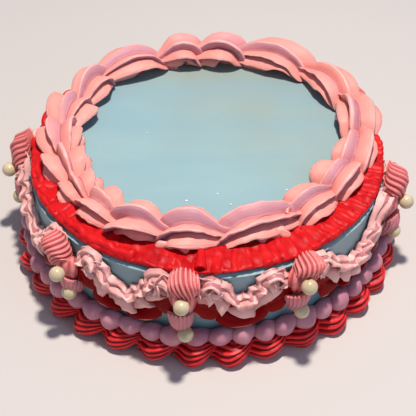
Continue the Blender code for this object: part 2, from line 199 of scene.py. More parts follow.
class Paint:
    """A Principled finish and the nodes that vary it over a piece."""

    def __init__(self, name, roughness, glaze=0.0, glow=0.0, glow_radius=(1.0, 0.5, 0.4),
                 glow_depth=0.002, shine=0.28):
        self.material = bpy.data.materials.new(name)
        self.material.use_nodes = True
        self.tree = self.material.node_tree
        self.shader = self.tree.nodes["Principled BSDF"]
        for key, value in (("Roughness", roughness), ("Specular IOR Level", shine),
                           ("Coat Weight", glaze), ("Coat Roughness", 0.25),
                           ("Subsurface Weight", glow), ("Subsurface Radius", glow_radius),
                           ("Subsurface Scale", glow_depth)):
            self.shader.inputs[key].default_value = value
        self.place = self.node("ShaderNodeTexCoord").outputs["Object"]

    def node(self, kind, settings=None, sockets=None):
        """Adds a node, makes its settings, then sets or links its sockets."""
        made = self.tree.nodes.new(kind)
        for key, value in (settings or {}).items():
            setattr(made, key, value)
        for key, value in (sockets or {}).items():
            self.feed(made.inputs[key], value)
        return made

    def feed(self, socket, value):
        """Links a varying value or colour to a socket, or sets a fixed one."""
        if isinstance(value, Amount):
            value = value.socket
        if isinstance(value, bpy.types.NodeSocket):
            self.tree.links.new(value, socket)
        elif socket.type == "RGBA":
            socket.default_value = (*value, 1.0)
        else:
            socket.default_value = value

    def noise(self, scale, detail=3.0, stretch=None):
        """Cloudy noise of about 0 to 1 over the piece, stretched along an axis where asked."""
        place = self.place
        if stretch is not None:
            place = self.node("ShaderNodeMapping", None, {"Vector": place, "Scale": stretch}).outputs[0]
        made = self.node("ShaderNodeTexNoise", None, {"Vector": place, "Scale": scale, "Detail": detail})
        return Amount(self, made.outputs["Fac"])

    def lines(self, value, scale):
        """Fine lines of about 0 to 1 that run wherever the value keeps the same."""
        sockets = {"W": value, "Scale": scale, "Detail": 2.0}
        made = self.node("ShaderNodeTexNoise", {"noise_dimensions": "1D"}, sockets)
        return Amount(self, made.outputs["Fac"])

    def between(self, value, low, high):
        """Value stretched so that low becomes 0 and high becomes 1, kept within them."""
        sockets = {"Value": value, "From Min": low, "From Max": high}
        return Amount(self, self.node("ShaderNodeMapRange", {"clamp": True}, sockets).outputs["Result"])

    def mark(self, name="crest"):
        """The mark that the piece's own mesh carries."""
        return Amount(self, self.node("ShaderNodeAttribute", {"attribute_name": name}).outputs["Fac"])

    def along(self, axis):
        """The piece's own X, Y or Z in metres."""
        made = self.node("ShaderNodeSeparateXYZ", None, {"Vector": self.place})
        return Amount(self, made.outputs[axis])

    def mix(self, factor, first, second):
        """First colour where factor is 0, second where it is 1."""
        made = self.node("ShaderNodeMix", {"data_type": "RGBA"}, {"Factor": factor})
        self.feed(made.inputs[6], first)
        self.feed(made.inputs[7], second)
        return made.outputs[2]

    def finish(self, colour, bump=None, bump_height=0.0003):
        """Feeds the colour and the small relief to the shader."""
        self.feed(self.shader.inputs["Base Color"], colour)
        if bump is not None:
            sockets = {"Height": bump, "Distance": bump_height, "Strength": 1.0}
            made = self.node("ShaderNodeBump", None, sockets)
            self.feed(self.shader.inputs["Normal"], made.outputs["Normal"])
        return self.material


def body_surface():
    """Cake surface turned about its axis: the outline runs over the top, round a lip that wavers in
    height, and down the side. The top dips and rises with a slow unevenness and long knife marks,
    and level streaks run round the side."""
    top_radius = np.linspace(0.0015, CAKE_RADIUS - LIP_WIDTH, 70)
    lip_turn = np.linspace(0.0, 1.0, 14)[1:]
    lip_radius = CAKE_RADIUS - LIP_WIDTH + 0.0019 * np.sin(0.5 * math.pi * lip_turn)
    lip_height = CAKE_HEIGHT - 0.0012 * (1.0 - np.cos(0.5 * math.pi * lip_turn))
    side_height = np.concatenate([np.linspace(CAKE_HEIGHT - 0.0014, CAKE_HEIGHT - 0.0040, 10),
                                  np.linspace(CAKE_HEIGHT - 0.0052, 0.0012, 42)])
    radius = np.concatenate([top_radius, lip_radius, np.full(len(side_height), CAKE_RADIUS),
                             [CAKE_RADIUS - 0.0004, CAKE_RADIUS - 0.0012]])
    height = np.concatenate([np.full(len(top_radius), CAKE_HEIGHT), lip_height, side_height,
                             [0.0005, 0.0]])
    azimuth = np.linspace(0.0, 2.0 * math.pi, BODY_TURNS, endpoint=False)
    points = cylindrical(radius[:, None], azimuth[None, :], height[:, None])
    on_top = ease((CAKE_RADIUS - 0.001 - radius) / 0.02) * (height > CAKE_HEIGHT - 0.0001)
    flow = points * (0.35, 1.0, 1.0)
    dip = 0.00022 * unevenness(points, 0.06, 11) + 0.00006 * unevenness(flow, 0.010, 12) - 0.0003
    points[..., 2] += dip * on_top[:, None]
    rim = np.exp(-((height - (CAKE_HEIGHT - 0.0014)) / 0.0005) ** 2) * (radius > CAKE_RADIUS - 0.004)
    rim = rim[:, None]
    low = points * (1.0, 1.0, 0.2)
    wavy = unevenness(low, 0.014, 13) + 0.7 * unevenness(low, 0.005, 16)
    swell = 1.0 + rim * (0.0011 + 0.00055 * wavy) / CAKE_RADIUS
    points[..., :2] *= swell[..., None]
    points[..., 2] += rim * 0.00045 * wavy
    on_wall = ease((CAKE_HEIGHT - 0.002 - height) / 0.004) * ease(height / 0.01)
    streak = (np.cos(azimuth)[None, :] * 0.03, np.sin(azimuth)[None, :] * 0.03, height[:, None])
    streak = np.stack(np.broadcast_arrays(*streak), axis=-1)
    inward = on_wall[:, None] * (0.00025 + 0.00022 * unevenness(streak, 0.009, 14)
                                 + 0.00010 * unevenness(streak, 0.0035, 15))
    points[..., :2] *= (1.0 - inward / CAKE_RADIUS)[..., None]
    return points


def crumb(azimuth, radius, size, seed):
    """A white sugar crumb, a flattened pebble: a ball squashed to two fifths and made lumpy."""
    ball = unit_ball(np.linspace(-1.3, 1.3, 7)[:, None], 12)
    ball *= 1.0 + 0.25 * unevenness(ball, 1.5, seed)[..., None]
    place = cylindrical(radius, azimuth, CAKE_HEIGHT)
    return closed_body(place + ball * (size, 0.8 * size, 0.4 * size), 1.0)


blue = Paint("blue_icing", 0.42, glow=0.08, glow_radius=(0.5, 0.8, 0.9))
# Painted shade: the top is painted greyer and darker towards the back and right, broken up by cloudy
# noise.
behind = blue.along("Y") + blue.along("X") * 0.6
back_right_shade = blue.between(behind * 4.0 + blue.noise(14.0, 2.0), 0.42, 0.95)
smear = blue.between(blue.noise(26.0, 4.0, (0.35, 1.0, 2.5)), 0.42, 0.62)
body_colour = blue.mix(back_right_shade * 0.9, BODY_BLUE, BODY_BLUE_SHADE_GREY)
body_colour = blue.mix(smear * 0.55, body_colour, BODY_BLUE_DEEP)
grain = blue.noise(900.0, 2.0) * 0.4 + blue.noise(140.0, 3.0, (0.3, 1.0, 1.0)) * 0.6
body_material = blue.finish(body_colour, grain, 0.00012)
body_points = body_surface()
body_poles = ((0.0, 0.0, CAKE_HEIGHT - 0.0003), (0.0, 0.0, 0.0))
make_piece("cake_body_icing", [closed_body(body_points, 0.5, poles=body_poles)], body_material,
           ("cake_body",))

white = Paint("sugar_crumb", 0.6)
crumb_material = white.finish(white.mix(white.noise(1500.0), CRUMB_WHITE, CRUMB_SHADE))
crumbs = []
for number, (azimuth, radius, size) in enumerate(CRUMBS):
    crumbs.append(crumb(math.radians(azimuth), 0.001 * radius, 0.001 * size, 20 + number))
make_piece("top_crumbs", crumbs, crumb_material, ("cake_body",))


# Ruffle on the rim
# A ribbon of bright red buttercream from a petal tip, laid flat round the rim, thick edge inwards.
# The hand shakes as it goes, so the ribbon folds into close pleats that overhang the side a little.
RUFFLE_INNER = 0.0862
RUFFLE_EDGE = 0.1062
RUFFLE_ROWS = 2100
ROLL_INNER = 0.0905
ROLL_OUTER = 0.1045
# Each rolled fold's azimuth in degrees, its lean in radians and its half thickness in mm.
ROLLS = ((-1.9, 0.0, 3.3), (118.0, 0.06, 2.1), (207.0, -0.05, 2.1))
# Each long fold's first and last azimuth in degrees, its radius and its half thickness in mm.
LONG_FOLDS = ((-55.0, -22.5, 101.5, 3.0), (-84.0, -60.0, 101.0, 2.4))
RUFFLE_RED = (0.58, 0.006, 0.009)
RUFFLE_RED_LIGHT = (0.80, 0.022, 0.018)
RUFFLE_RED_SHADE = (0.38, 0.003, 0.006)
RUFFLE_PIT_SHADE = (0.16, 0.0, 0.002)


def pleat_phase(azimuth, seed):
    """Number of pleats passed by an azimuth: 106 a turn, crowded to the right of the front, spread
    to the left of it, and uneven by quick waves."""
    draw = np.random.default_rng(seed)
    phase = 106.0 * azimuth / (2.0 * math.pi) - 8.5 * np.cos(azimuth + 0.35)
    for waves, size in ((5, 0.6), (11, 0.30), (23, 0.10)):
        phase = phase + size * np.sin(waves * azimuth + draw.uniform(0.0, 6.28))
    return phase


def fold_shape(phase):
    """One pleat, a round rib between narrow grooves that leans a little to one side: a parabola
    over the pleat, raised to the power 0.7."""
    share = (phase - np.floor(phase)) ** 1.15
    return np.clip(1.0 - (2.0 * share - 1.0) ** 2, 0.0, 1.0) ** 0.7


def ruffle_surface():
    """Section carried round the rim. It runs out over the top, round the blunt outer edge and back
    underneath, clear of the cake. The inner edge stays under the ring of shells, which is off the
    middle. Pleats lift the top and push the edge out, and long waves sway the whole ribbon."""
    azimuth = np.linspace(0.0, 2.0 * math.pi, RUFFLE_ROWS, endpoint=False)[:, None]
    turn = np.linspace(0.0, 1.0, 15)[1:] * math.pi
    flat = np.linspace(0.0, 1.0, 20)
    share = np.concatenate([flat * 0.90, 0.90 + 0.10 * np.sin(turn), flat[::-1][1:8] * 0.90])[None, :]
    level = np.concatenate([np.ones(20), np.cos(turn), -np.ones(7)])[None, :]
    around = np.concatenate([np.cos(azimuth), np.sin(azimuth), 0.0 * azimuth], axis=1)
    strength = np.clip(0.75 + 0.5 * unevenness(around, 1.0, 31)[:, None], 0.2, 1.1)
    phase = pleat_phase(azimuth, 32) + 0.7 * (share - 0.5) * np.sin(4.0 * azimuth + 1.0)
    index = np.floor(phase).astype(int)
    tall = np.random.default_rng(33).uniform(0.25, 1.55, 400)
    lift = tall[index % 400]
    fold = fold_shape(phase) * lift * strength
    width = 0.1 / np.gradient(phase[:, :1], azimuth[:, 0], axis=0)
    fold = fold * np.clip(width / 0.0050, 0.8, 2.2)
    sway = unevenness(around, 0.22, 35)[:, None]
    edge = RUFFLE_EDGE - 0.0012 + 0.0005 * unevenness(around, 0.30, 34)[:, None] + 0.0007 * fold
    inner = np.maximum(RUFFLE_INNER, 0.0886 - 0.0135 * np.cos(azimuth) + 0.0030 * np.sin(azimuth))
    radius = inner + (edge - inner) * share
    middle = CAKE_HEIGHT + 0.0029 + 0.0005 * (1.0 - share) - 0.0002 * share + 0.00045 * sway * share
    half = 0.0011 + 0.0004 * np.sin(math.pi * share) + 0.00030 * share
    height = middle + half * level + fold * (0.0004 + 0.0007 * share) * (0.65 + 0.35 * level) - 0.0003
    points = cylindrical(radius, azimuth, height)
    lumps = 0.00035 * unevenness(points, 0.0055, 36) + 0.00060 * unevenness(points, 0.013, 37)
    points[..., 2] += lumps * level
    # The marks paint shade: low in the grooves between the pleats, and lower still on the underside.
    marks = np.clip(0.25 + 0.9 * fold, 0.0, 1.0) * (0.55 + 0.45 * level)
    return points, marks


def roll(azimuth, thick, lean, seed):
    """A fold rolled into a little tube that lies across the ruffle, its outer end open: a round
    section carried straight outwards, which turns in at the end to a shallow hollow."""
    share = np.linspace(0.0, 1.0, 26)[:, None]
    turn = once_round(28)
    outward = np.concatenate([share, np.array([[1.0], [0.99], [0.93], [0.86]])])
    size = np.concatenate([0.75 + 0.25 * ease(share / 0.5), np.array([[0.86], [0.62], [0.50], [0.42]])])
    size = size * (1.0 + 0.06 * np.sin(9.0 * outward + seed))
    radius = ROLL_INNER + (ROLL_OUTER - ROLL_INNER) * outward
    across = azimuth + lean * (outward - 0.5) + thick * size * np.cos(turn) / CAKE_RADIUS
    height = CAKE_HEIGHT + 0.0046 - 0.0006 * outward + thick * size * np.sin(turn)
    height = np.maximum(height, CAKE_HEIGHT + 0.0009)
    points = cylindrical(radius + 0.0004 * np.sin(turn), across, height)
    # The mark paints shade on the tube's underside and keeps its top the full red.
    return closed_body(points, 0.5 + 0.5 * np.sin(turn))


def long_fold(first, last, radius, thick, seed):
    """A fat fold that lies along the ruffle: a round section carried round the rim, which swells
    from the first azimuth to a blunt end at the last."""
    share = np.linspace(0.0, 1.0, 90)[:, None]
    turn = once_round(30)
    blunt = np.sqrt(np.clip(1.0 - ((share - 0.95) / 0.052).clip(0.0) ** 2, 0.02, 1.0))
    size = thick * (0.55 + 0.45 * ease(share / 0.6)) * blunt
    azimuth = first + (last - first) * share
    out = radius + 1.15 * size * np.cos(turn)
    height = CAKE_HEIGHT + 0.0036 + 0.0006 * np.sin(5.0 * share) + size * np.sin(turn)
    points = cylindrical(out, azimuth, np.maximum(height, CAKE_HEIGHT + 0.0012))
    points += 0.0005 * unevenness(points, 0.0080, seed)[..., None]
    # The mark paints shade on the fold's underside and keeps its top the full red.
    return closed_body(points, 0.45 + 0.45 * np.sin(turn))


red = Paint("red_ruffle_icing", 0.45, glow=0.10, glow_radius=(1.0, 0.08, 0.06), shine=0.18)
# Painted shade: a deeper red where the marks are low, in the pleats' grooves and underneath.
fold_shade_mark = red.between(red.mark(), 0.10, 0.80)
red_colour = red.mix(fold_shade_mark, RUFFLE_RED_SHADE, RUFFLE_RED)
red_colour = red.mix(red.between(red.noise(90.0, 3.0), 0.50, 0.75) * 0.6, red_colour, RUFFLE_RED_LIGHT)
# Little air pits, sunk in by the bump, with painted shade inside them.
cells = red.node("ShaderNodeTexVoronoi", None, {"Vector": red.place, "Scale": 210.0})
pits = red.between(cells.outputs["Distance"], 0.04, 0.14)
red_colour = red.mix(pits, RUFFLE_PIT_SHADE, red_colour)
ruffle_material = red.finish(red_colour, red.noise(500.0, 3.0) * 0.25 + pits, 0.00045)
ruffle_points, ruffle_marks = ruffle_surface()
ruffle_bodies = [closed_body(ruffle_points, ruffle_marks, ring=True)]
for number, (azimuth, lean, thick) in enumerate(ROLLS):
    ruffle_bodies.append(roll(math.radians(azimuth), 0.001 * thick, lean, number))
for number, (first, last, radius, thick) in enumerate(LONG_FOLDS):
    ruffle_bodies.append(long_fold(math.radians(first), math.radians(last), 0.001 * radius,
                                   0.001 * thick, 44 + number))
make_piece("ruffle_border_icing", ruffle_bodies, ruffle_material, ("ruffle_border",))


# Shell border on top
# Big pale pink shells from a large open star tip, piped anticlockwise seen from above, each a fat
# ridged head drawn out to a tail that the next head covers. The ring is a little off the middle.
TOP_CENTRE = (0.003, 0.011)
TOP_RING_RADIUS = 0.0895
TOP_SHELL_WIDTH = 0.0142
TOP_SHELL_HEIGHT = 0.0112
TOP_HEADS_DEG = (233, 250, 269, 299, 318, 337, 357, 380, 405, 434, 453.5, 468, 496, 515, 532, 550,
                 566, 579)
TOP_SHIFTS_MM = (4, 2, -1, -3.5, -4.5, -4, -1, 1.5, 3.5, 0, -2, -1, 4, 0.5, 0, 1, 2, 3.5)
TOP_TORN_DEG = 269
TOP_ROWS = 74
TOP_SIDES = 128
TOP_SHAPE = {"taper": 0.62, "twist_until": 0.9, "lean": 0.32, "rim": 0.84, "hook": 0.20,
             "plain": 0.20, "back": 1.95, "blunt": 0.34, "mouth": 0.20, "low": 0.42, "climb": 0.24}
SHELL_PINK = (0.86, 0.32, 0.27)
SHELL_PINK_PALE_AND_HIGHLIGHT = (0.97, 0.50, 0.46)
SHELL_GROOVE_SHADE = (0.34, 0.04, 0.06)
SHELL_LILAC_SHADE = (0.54, 0.28, 0.35)
SHELL_PINK_SHADE = (0.50, 0.16, 0.21)
# Each dab's azimuth in degrees, then its radius, height, length and half thickness in mm, and the
# angle in radians that it is turned by.
SHELL_DABS = ((-119.0, 80.5, 64.5, 5.5, 2.8, 0.4), (27.5, 87.5, 68.0, 12.0, 5.2, 0.9),
              (31.0, 83.5, 74.0, 9.0, 1.6, 1.2), (34.0, 81.0, 75.5, 8.0, 1.4, 2.2),
              (-14.0, 91.0, 67.5, 16.0, 3.0, 1.45), (-7.5, 87.5, 67.5, 13.0, 3.5, 3.2),
              (43.0, 87.5, 71.0, 8.0, 3.0, 0.8), (46.0, 88.0, 70.0, 7.0, 2.4, -0.5),
              (-57.5, 92.0, 67.0, 8.0, 2.0, 1.9))
# A piped shell where nothing else is said. Places are shares of the stroke, angles are in radians,
# fingers is in metres, and the other numbers are shares of the shell's own size.
PLAIN_SHELL = {
    "full": 0.30,  # place where the shell is fullest
    "blunt": 0.5,  # power of the rise to there, a half for a quarter circle
    "mouth": 0.0,  # size at the start
    "taper": 0.70,  # size lost by the tail
    "begin": 0.10,  # place where the stroke begins
    "lift": 0.80,  # height of the stroke's line
    "low": 1.0,  # how much of that height the line has at the start
    "climb": 0.35,  # place where it has all of it
    "back": 1.05,  # angle that the sections lean back by at the start
    "back_until": 0.55,  # place where they are upright
    "hook": 0.0,  # how far the sides of a leaning section reach back
    "twist": 0.8,  # angle that the ridges turn through
    "twist_until": 0.6,  # place where they stop turning
    "start": 0.0,  # angle of the ridges at the start
    "plain": 0.001,  # place where the ridges have all of their depth
    "sharp": True,  # keen crests between round grooves, or the other way about
    "rim": 1.0,  # share of a ridge above which its keen crest is cut flat
    "lean": 0.0,  # how far the ridges bend over towards the sides
    "tear": 0.0,  # roughness of the crests
    "fingers": 0.0,  # how far the ridges' ends stand out at the mouth
    "facing": 0.0,  # above 0 one side of the ridges counts as flank, below 0 the other
}


def piped_shell(length, half_width, half_height, ridges, depth, shape, rows, sides, seed):
    """Local points, crest marks, flanks and poles of one shell: x runs along the stroke, y across
    it and z off the surface. A round section with so many ridges is carried along a line that lifts
    off the surface at the head and sinks to the tail. Its size follows a quarter circle up to the
    fullest place, then eases down. The sections lean back at the head, so that the ridges start
    low, sweep up over the head and draw together at the tail."""
    draw = np.random.default_rng(seed)
    shape = dict(PLAIN_SHELL, **shape)
    step = np.linspace(0.02, 1.0, rows)[:, None] ** 1.35
    full = shape["full"]
    mouth = shape["mouth"]
    size = np.clip(1.0 - (1.0 - np.minimum(step / full, 1.0)) ** 2, 0.0, 1.0) ** shape["blunt"]
    size = mouth + (1.0 - mouth) * size
    size = size * (1.0 - shape["taper"] * ease((step - full) / (1.0 - full)))
    size = size * np.sqrt(np.clip(1.0 - ((step - 0.94) / 0.065).clip(0.0, 1.0) ** 2, 0.0, 1.0))
    angle = once_round(sides)
    turned = angle - shape["twist"] * ease(step / shape["twist_until"]) - shape["start"]
    turned = turned + 0.06 * np.sin(5.0 * step + draw.uniform(0.0, 6.28))
    lobe = ridges * turned / (2.0 * math.pi) + draw.uniform(0.0, 1.0)
    nearest = np.round(lobe)
    mark = 1.0 - 2.0 * np.abs(lobe - nearest)
    keen = np.clip(mark / shape["rim"], 0.0, 1.0)
    rise = keen ** 2 if shape["sharp"] else 1.0 - (1.0 - mark) ** 2
    uneven = draw.uniform(-1.0, 1.0, 64)[nearest.astype(int) % 64 % ridges]
    depth = depth * ease(step / shape["plain"])
    reach = 1.0 - depth * (1.0 - rise) + 0.35 * depth * uneven * rise
    leaned = angle - shape["lean"] * rise * np.cos(angle)
    tear = shape["tear"] * mark ** 4
    reach = reach + tear * np.sin(70.0 * step + 3.0 * nearest) * np.sin(43.0 * step + 5.0 * nearest)
    swell = size * (1.0 + 0.04 * np.sin(7.0 * step + draw.uniform(0.0, 6.28)))
    across = half_width * swell * reach * np.cos(leaned)
    above = half_height * swell * reach * np.sin(leaned)
    back = shape["back"] * (1.0 - ease(step / shape["back_until"]))
    x = length * (shape["begin"] + (1.0 - shape["begin"]) * step) - np.sin(back) * above
    x = x - shape["hook"] * np.sin(back) * np.abs(across)
    x = x - shape["fingers"] * mark * np.exp(-step / 0.05)
    climb = shape["low"] + (1.0 - shape["low"]) * ease(step / shape["climb"])
    z = shape["lift"] * half_height * swell * climb + np.cos(back) * above
    points = np.stack([x, across, z], axis=-1)
    # The flank is the steep side under each crest, on the side that facing picks; the top shells paint
    # it with lilac shade.
    outer = np.sign(nearest - lobe)
    steep = ease((0.95 - np.sin(angle - 1.05 * outer)) / 0.4)
    flank = steep * ease(3.0 * outer * shape["facing"])
    flank = flank * ease((0.96 - mark) / 0.12) * ease((mark - 0.12) / 0.24)
    poles = np.array([[points[0, :, 0].mean() + 0.25 * mouth * half_width, 0.0,
                       points[0, :, 2].mean() * min(mouth * 9.0, 1.0)],
                      [length * 1.004, 0.0, 0.3 * points[-1, :, 2].max()]])
    return points, mark, flank, poles


def on_top_ring(local, head_angle, first_shift, last_shift, length):
    """Bends a shell's local points round the ring on top: x becomes the angle, y the radius and z the
    height over the cake, into which the shell is sunk a little."""
    angle = head_angle + local[..., 0] / TOP_RING_RADIUS
    share = np.clip(local[..., 0] / length, -0.2, 1.2)
    across = TOP_RING_RADIUS + first_shift + (last_shift - first_shift) * share + local[..., 1]
    x = TOP_CENTRE[0] + across * np.cos(angle)
    y = TOP_CENTRE[1] + across * np.sin(angle)
    return np.stack([x, y, np.maximum(CAKE_HEIGHT + local[..., 2], CAKE_HEIGHT - 0.0015)], axis=-1)


def top_shells():
    """All the shells of the ring, the long one to the right of the front torn. On the side of the ridges
    that faces the cool light at the front right, the steep flanks carry painted lilac shade."""
    heads = np.radians(np.array(TOP_HEADS_DEG + (TOP_HEADS_DEG[0] + 360.0,)))
    shifts = 0.001 * np.array(TOP_SHIFTS_MM + TOP_SHIFTS_MM[:1])
    draw = np.random.default_rng(51)
    bodies = []
    for index, head_deg in enumerate(TOP_HEADS_DEG):
        head = heads[index]
        pitch = (heads[index + 1] - head) * TOP_RING_RADIUS
        length = pitch * 1.44
        torn = head_deg == TOP_TORN_DEG
        shape = dict(TOP_SHAPE, twist=draw.uniform(-0.25, 0.10), start=draw.uniform(-0.12, 0.12),
                     tear=0.012 if torn else 0.002, begin=0.0065 / length,
                     facing=0.6 * math.cos(head + 0.1) - 0.8 * math.sin(head + 0.1))
        size = draw.uniform(0.98, 1.06)
        local, mark, flank, poles = piped_shell(length, TOP_SHELL_WIDTH * size, TOP_SHELL_HEIGHT * size,
                                                8, 0.50, shape, TOP_ROWS, TOP_SIDES, 60 + index)
        limits = (head, shifts[index], shifts[index + 1], pitch)
        points = on_top_ring(local, *limits)
        rough = 0.00045 if torn else 0.00015
        points += rough * unevenness(points, 0.0080, 160 + index)[..., None]
        points[..., 2] = np.minimum(points[..., 2], cad_high[2] - 0.0002)
        bodies.append(closed_body(points, mark, poles=on_top_ring(poles, *limits), flank=flank))
    return bodies


def dab(azimuth, radius, height, length, thick, turned, seed):
    """A dab of icing that came off the tip: a lumpy drop, thickest a third of the way along, drawn
    out to a point that droops. It lies turned by an angle from straight outwards."""
    share = np.linspace(0.02, 0.99, 22)[:, None]
    turn = once_round(26)
    size = thick * np.sin(math.pi * share ** 0.6) ** 0.7 * (1.0 - 0.35 * share)
    along = length * (share - 0.4)
    side = size * np.cos(turn) + 0.12 * length * np.sin(3.0 * share)
    up = size * np.sin(turn) - 0.25 * length * share ** 2
    outward = along * math.cos(turned) - side * math.sin(turned)
    arc = along * math.sin(turned) + side * math.cos(turned)
    points = cylindrical(radius + outward, azimuth + arc / radius, height + up)
    points += 0.10 * thick * unevenness(points, 0.0045, seed)[..., None]
    # The mark paints light on the dab through the shell finish: a highlight along its top and shade
    # underneath.
    return closed_body(points, 0.5 + 0.4 * np.sin(turn))


pink = Paint("pink_shell_icing", 0.42, glow=0.08, glow_radius=(1.0, 0.45, 0.35), glow_depth=0.003)
ridge = pink.mark()
# Painted shade: a thin dark line at the floor of each groove, and a deeper mauve pink up its sides.
pink_colour = pink.mix(pink.between(ridge, 0.0, 0.10), SHELL_GROOVE_SHADE, SHELL_PINK_SHADE)
pink_colour = pink.mix(pink.between(ridge, 0.05, 0.28), pink_colour, SHELL_PINK)
# Paler pink in cloudy patches at random.
blotch = pink.between(pink.noise(45.0, 3.0), 0.45, 0.75)
pink_colour = pink.mix(blotch * 0.25, pink_colour, SHELL_PINK_PALE_AND_HIGHLIGHT)
# Painted shade: the flanks that face the cool light are painted lilac.
pink_colour = pink.mix(pink.mark("flank") * 0.85, pink_colour, SHELL_LILAC_SHADE)
# Painted highlight: a pale line along each crest.
pink_colour = pink.mix(pink.between(ridge, 0.80, 0.97) * 0.75, pink_colour, SHELL_PINK_PALE_AND_HIGHLIGHT)
shell_relief = pink.noise(650.0, 3.0) * 0.3 + pink.lines(ridge, 16.0)
shell_material = pink.finish(pink_colour, shell_relief, 0.0004)
shell_bodies = top_shells()
dabs = []
for number, (azimuth, *sizes, turned) in enumerate(SHELL_DABS):
    dabs.append(dab(math.radians(azimuth), *(0.001 * np.array(sizes)), turned, 700 + number))
for half, bodies in (("left", shell_bodies[9:]), ("right", shell_bodies[:9] + dabs)):
    make_piece("top_border_shells_" + half, bodies, shell_material, ("top_border",))


# Shells round the foot
# Red buttercream shells from a fine star tip, piped into the corner at the foot of the cake,
# anticlockwise seen from above. They hide the cut edge of the coat of icing.
WALL_RADIUS = 0.1053
BASE_COUNT = 32
BASE_FIRST_DEG = 2.0
BASE_HEIGHT = 0.0074
BASE_HALF_HEIGHT = 0.0082
BASE_HALF_DEPTH = 0.0084
BASE_RED = (0.80, 0.015, 0.020)
BASE_RED_HIGHLIGHT = (0.95, 0.06, 0.06)
BASE_RED_SHADE = (0.16, 0.001, 0.004)
LEDGE_HEIGHT = 0.0155
LEDGE_SLOPE = 0.30
BASE_SHAPE = {"taper": 0.74, "twist_until": 0.9, "sharp": False, "tear": 0.03, "begin": 0.26,
              "back": 1.30, "back_until": 0.7, "mouth": 0.85, "low": 0.45, "fingers": 0.0030}


def on_side(local, azimuth, height):
    """Puts local points on the side of the cake: x becomes arc to the right, y height, z radius."""
    turned = azimuth + local[..., 0] / CAKE_RADIUS
    return cylindrical(WALL_RADIUS + local[..., 2], turned, height + local[..., 1])


def ledge(points):
    """Height of the sloping ledge between the foot shells and the beads, at each point's radius."""
    return LEDGE_HEIGHT - LEDGE_SLOPE * (np.hypot(points[..., 0], points[..., 1]) - CAKE_RADIUS)


def base_shells():
    """The shells of the foot, each from the floor up to the ledge that the beads sit on."""
    draw = np.random.default_rng(71)
    pitch = 2.0 * math.pi / BASE_COUNT
    bodies = []
    for index in range(BASE_COUNT):
        shape = dict(BASE_SHAPE, twist=draw.uniform(-0.55, -0.25))
        size = draw.uniform(0.95, 1.02)
        local, mark, _, poles = piped_shell(pitch * CAKE_RADIUS * 1.12, BASE_HALF_HEIGHT * size,
                                            BASE_HALF_DEPTH * size, 12, 0.25, shape, 34, 90, 80 + index)
        local[..., 1] += 0.0045 * (local[..., 0] / (pitch * CAKE_RADIUS)) - 0.0020
        azimuth = math.radians(BASE_FIRST_DEG) + index * pitch + draw.uniform(-0.004, 0.004)
        points = on_side(local, azimuth, BASE_HEIGHT)
        points[..., 2] = np.clip(points[..., 2], 0.0, ledge(points) + 0.0006)
        bodies.append(closed_body(points, mark, poles=on_side(poles, azimuth, BASE_HEIGHT)))
    return bodies


foot_red = Paint("red_shell_icing", 0.42, glow=0.06, glow_radius=(1.0, 0.08, 0.06))
# Painted shade: near-black red down in the grooves. Painted highlight: a brighter red on the crests.
foot_crest = foot_red.between(foot_red.mark(), 0.05, 0.8)
foot_colour = foot_red.mix(foot_crest, BASE_RED_SHADE, BASE_RED)
foot_colour = foot_red.mix((foot_crest ** 5.0) * 0.5, foot_colour, BASE_RED_HIGHLIGHT)
base_material = foot_red.finish(foot_colour, foot_red.noise(700.0, 3.0), 0.00018)
make_piece("base_border_shells", base_shells(), base_material, ("base_border",))


# Bead border
# Dusty pink balls from a plain round tip, pressed one against the next on top of the foot
# shells. Each is let down to a short tail that the next ball covers.
BEAD_COUNT = 54
BEAD_HEIGHT = 0.0193
BEAD_HALF_HEIGHT = 0.0066
BEAD_HALF_DEPTH = 0.0061
BEAD_PINK = (0.60, 0.26, 0.31)
BEAD_PINK_DEEP = (0.42, 0.15, 0.22)
BEAD_SHAPE = {"full": 0.45, "taper": 0.55, "twist": 0.0, "begin": 0.05, "back": 0.7,
              "back_until": 0.6, "sharp": False}


def beads():
    """Balls with a tail, made as shells with five faint ridges and slightly different in size."""
    draw = np.random.default_rng(91)
    pitch = 2.0 * math.pi / BEAD_COUNT
    bodies = []
    for index in range(BEAD_COUNT):
        size = draw.uniform(0.86, 1.05)
        local, mark, _, poles = piped_shell(pitch * CAKE_RADIUS * 1.25, BEAD_HALF_HEIGHT * size,
                                            BEAD_HALF_DEPTH * size, 5, 0.05, BEAD_SHAPE, 22, 36,
                                            100 + index)
        azimuth = index * pitch + draw.uniform(-0.006, 0.006)
        height = BEAD_HEIGHT + draw.uniform(-0.0005, 0.0004)
        points = on_side(local, azimuth, height)
        points[..., 2] = np.maximum(points[..., 2], ledge(points))
        bodies.append(closed_body(points, mark, poles=on_side(poles, azimuth, height)))
    return bodies


dusty = Paint("dusty_bead_icing", 0.42, glow=0.12, glow_radius=(1.0, 0.4, 0.4))
dusty_colour = dusty.mix(dusty.between(dusty.noise(60.0, 2.0), 0.35, 0.7), BEAD_PINK, BEAD_PINK_DEEP)
bead_material = dusty.finish(dusty_colour, dusty.noise(600.0, 3.0), 0.00012)
make_piece("bead_border_balls", beads(), bead_material, ("bead_border",))


# Red ribbons under the swags
# A smooth deep red ribbon from a petal tip hangs under each pink swag in five to eight round
# scallops, its upper edge tucked under the pink ruffle and its lower edge standing proud.
SWAG_END_HEIGHT = 0.0568
SWAG_DROP_PER_DEG = 0.00047
SWAG_DEEPEST = 0.0200
SWAG_ARCH = 0.0065
SWAG_FALL = 0.0070
RIBBON_STEPS = 150
RIBBON_DROP = 0.0131
RIBBON_TUCK = 0.0052
RIBBON_LOWEST = 0.0262
SCALLOP_DEG = 6.6
